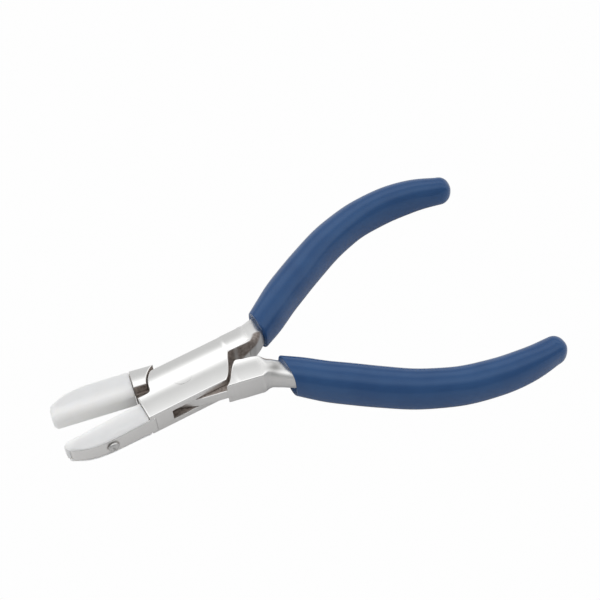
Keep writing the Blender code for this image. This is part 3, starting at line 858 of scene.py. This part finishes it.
def steel(name, turn, tone=0.86, inner_faces_and_shade=True, roughness=0.12):
    """Ground and polished steel: fine lines along the tool, satin sides with painted shade (a darker base colour), and
    brownish unpolished faces where the halves slide on each other, with painted shade there too."""
    n = Nodes(name)
    fine = n.noise(n.place((0.9, 14.0, 14.0), -turn), 1.0, 4.0, 0.6)
    cross = n.noise(n.place((9.0, 1.2, 1.2), -turn), 1.0, 3.0, 0.6)
    cloud = n.noise(n.place((0.16, 0.16, 0.16)), 1.0, 2.0)
    mottle = n.noise(n.place((1.4, 1.4, 1.4)), 1.0, 5.0, 0.7)
    geometry = n.add("ShaderNodeNewGeometry")
    split = n.add("ShaderNodeSeparateXYZ")
    n.link(geometry.outputs["True Normal"], split.inputs[0])
    flat = n.maths("ABSOLUTE", split.outputs["Z"])
    # painted shade: faces turned sideways get a darker base colour than the tops; their added roughness and cross lines
    # are the real satin grind
    side = n.spread(flat, 0.35, 0.75, 1.0, 0.0)
    base = n.mix(side, (tone, tone, tone * 0.99), (tone * 0.84, tone * 0.83, tone * 0.82))
    toned = n.mix(n.spread(cloud, 0.3, 0.7, 0.0, 0.12), base, (tone * 0.8, tone * 0.79, tone * 0.77))
    rough = n.maths("ADD", n.spread(fine, 0.3, 0.7, roughness - 0.03, roughness + 0.04), n.maths("MULTIPLY", side, 0.2))
    lines = n.maths("ADD", n.maths("MULTIPLY", fine, n.maths("SUBTRACT", 1.0, side)), n.maths("MULTIPLY", cross, side))
    if not inner_faces_and_shade:
        n.set("Metallic", 1.0)
    # the faces between the halves: brownish unpolished steel, also painted dark as the shade of the recesses
    if inner_faces_and_shade:
        unpolished_and_shade_fac = n.add("ShaderNodeAttribute", attribute_name="inner_faces_and_shade").outputs["Fac"]
        n.set("Metallic", n.spread(unpolished_and_shade_fac, 0.0, 1.0, 1.0, 0.35))
        unpolished_and_shade_colour = n.mix(n.spread(mottle, 0.35, 0.65, 0.0, 1.0), (0.20, 0.16, 0.14), (0.50, 0.44, 0.40))
        toned = n.mix(unpolished_and_shade_fac, toned, unpolished_and_shade_colour)
        rough = n.maths("ADD", rough, n.maths("MULTIPLY", unpolished_and_shade_fac, 0.28))
        satin = n.add("ShaderNodeAttribute", attribute_name="neck").outputs["Fac"]
        rough = n.maths("ADD", rough, n.maths("MULTIPLY", satin, 0.22))
        # darker patches on the necks
        dark_patch = n.add("ShaderNodeAttribute", attribute_name="dark_patch").outputs["Fac"]
        toned = n.mix(dark_patch, toned, (0.16, 0.155, 0.15))
        lines = n.maths("ADD", lines, n.maths("MULTIPLY", mottle, n.maths("MULTIPLY", unpolished_and_shade_fac, 4.0)))
    n.set("Base Color", toned)
    n.set("Roughness", rough)
    n.set("Normal", n.bump(lines, 0.3, 0.005))
    return n.material


def nylon(name, tone=0.86):
    """Milky moulded nylon: light enters it, and a fine matt grain."""
    n = Nodes(name)
    grain = n.noise(n.place((5.0, 5.0, 5.0)), 1.0, 4.0, 0.65)
    cloud = n.noise(n.place((0.25, 0.25, 0.25)), 1.0, 2.0)
    n.set("Base Color", n.mix(n.spread(cloud, 0.3, 0.7, 0.0, 1.0), (tone, tone, tone * 0.985), (tone * 0.97, tone * 0.97, tone * 0.95)))
    n.set("Roughness", n.spread(grain, 0.3, 0.7, 0.42, 0.55))
    n.set("Specular IOR Level", 0.35)
    n.set("Subsurface Weight", 0.8)
    n.shader.inputs["Subsurface Radius"].default_value = (1.0, 0.97, 0.92)
    n.shader.inputs["Subsurface Scale"].default_value = 1.6 * MM
    n.set("Normal", n.bump(grain, 0.25, 0.02))
    return n.material


def vinyl(name):
    """Glossy dipped vinyl: one navy blue, faintly clouded. All its highlights
    are reflections."""
    n = Nodes(name)
    cloud = n.noise(n.place((0.12, 0.12, 0.12)), 1.0, 2.0)
    fine = n.noise(n.place((1.6, 1.6, 1.6)), 1.0, 3.0)
    n.set("Base Color", n.mix(n.spread(cloud, 0.35, 0.65, 0.0, 1.0), (0.021, 0.068, 0.190), (0.026, 0.080, 0.212)))
    n.set("Roughness", n.spread(fine, 0.3, 0.7, 0.17, 0.24))
    n.set("Specular IOR Level", 0.5)
    n.set("Specular Tint", (0.6, 0.78, 1.0, 1.0))
    n.set("Normal", n.bump(fine, 0.10, 0.03))
    return n.material


def dress(made, material):
    made.data.materials.clear()
    made.data.materials.append(material)


dress(steel_a, steel("polished_steel_box_half", OPEN_EACH))
dress(steel_b, steel("polished_steel_tenon_half", -OPEN_EACH, 0.855))
dress(rivet_piece, steel("rivet_steel", OPEN_EACH, 0.86, False))
dress(screw_a, steel("screw_steel_box_side", 40.0, 0.66, False, 0.2))
dress(screw_b, steel("screw_steel_tenon_side", -35.0, 0.66, False, 0.2))
dress(pad_a, nylon("nylon_box_side", 0.955))
dress(pad_b, nylon("nylon_tenon_side", 0.95))
dress(grip_a, vinyl("dipped_vinyl_box_side"))
dress(grip_b, vinyl("dipped_vinyl_tenon_side"))


# ---------------------------------------------------------- floor, light, view

scene = bpy.context.scene
scene.view_settings.view_transform = "Standard"
scene.view_settings.look = "None"
scene.view_settings.exposure = 0.0
scene.view_settings.gamma = 1.0

floor_mesh = bpy.data.meshes.new("floor")
floor_mesh.from_pydata([(-6, -6, 0), (6, -6, 0), (6, 6, 0), (-6, 6, 0)], [], [(0, 1, 2, 3)])
floor = bpy.data.objects.new("floor", floor_mesh)
scene.collection.objects.link(floor)
n = Nodes("pale_floor")
n.shader.inputs["Base Color"].default_value = (0.86, 0.86, 0.86, 1.0)
n.shader.inputs["Roughness"].default_value = 0.9
path = n.add("ShaderNodeLightPath")
white = n.add("ShaderNodeEmission")
white.inputs["Color"].default_value = (1.0, 1.0, 1.0, 1.0)
white.inputs["Strength"].default_value = 0.99
both_ways = n.add("ShaderNodeMixShader")
seen = n.maths("MULTIPLY", path.outputs["Is Camera Ray"], 1.0)
n.link(seen, both_ways.inputs[0])
n.link(n.shader.outputs[0], both_ways.inputs[1])
n.link(white.outputs[0], both_ways.inputs[2])
n.link(both_ways.outputs[0], n.tree.nodes["Material Output"].inputs["Surface"])
floor_mesh.materials.append(n.material)

world = bpy.data.worlds.new("studio")
scene.world = world
world.use_nodes = True
tree = world.node_tree
background = tree.nodes["Background"]
coord = tree.nodes.new("ShaderNodeTexCoord")
split = tree.nodes.new("ShaderNodeSeparateXYZ")
tree.links.new(coord.outputs["Generated"], split.inputs[0])
# brightness of the tent by angle: 0 at the far horizon, 90 overhead, 180 at
# the near horizon, where the room is dark
away = tree.nodes.new("ShaderNodeVectorMath")
away.operation = "DOT_PRODUCT"
away.inputs[1].default_value = (0.324, 0.946, 0.0)
tree.links.new(coord.outputs["Generated"], away.inputs[0])
angle = tree.nodes.new("ShaderNodeMath")
angle.operation = "ARCTAN2"
tree.links.new(split.outputs["Z"], angle.inputs[0])
tree.links.new(away.outputs["Value"], angle.inputs[1])
to_unit = tree.nodes.new("ShaderNodeMapRange")
to_unit.inputs["From Min"].default_value = 0.0
to_unit.inputs["From Max"].default_value = math.pi
tree.links.new(angle.outputs[0], to_unit.inputs["Value"])
levels = tree.nodes.new("ShaderNodeValToRGB")
tree.links.new(to_unit.outputs["Result"], levels.inputs["Fac"])
ramp_points = [
    (0, 1.05), (20, 0.95), (28, 0.66), (38, 0.66), (41, 0.80), (45, 1.40), (55, 1.40), (59, 0.78),
    (62, 0.69), (66, 0.76), (72, 0.87), (80, 1.15), (100, 1.35), (115, 0.9), (130, 0.40), (180, 0.40),
]
elements = levels.color_ramp.elements
while len(elements) > 1:
    elements.remove(elements[-1])
for i, (degrees, value) in enumerate(ramp_points):
    element = elements[0] if i == 0 else elements.new(degrees / 180)
    element.position = degrees / 180
    element.color = (value, value, value, 1.0)
tree.links.new(levels.outputs["Color"], background.inputs["Color"])
background.inputs["Strength"].default_value = 1.0

R = ((0.913172, -0.401394, -0.07071), (0.350219, 0.684027, 0.639886), (-0.208479, -0.60909, 0.76521))
camera = bpy.data.cameras.new("camera")
camera.lens = 83.668
camera.sensor_width = 36.0
camera.clip_start = 0.01
eye = bpy.data.objects.new("camera", camera)
scene.collection.objects.link(eye)
turn = Matrix(R).transposed().to_4x4()
turn.translation = (Vector((-47.327 + 4.4, -232.72, 309.482)) + Vector(PIVOT)) * MM
eye.matrix_world = turn
scene.camera = eye

bpy.context.view_layer.update()
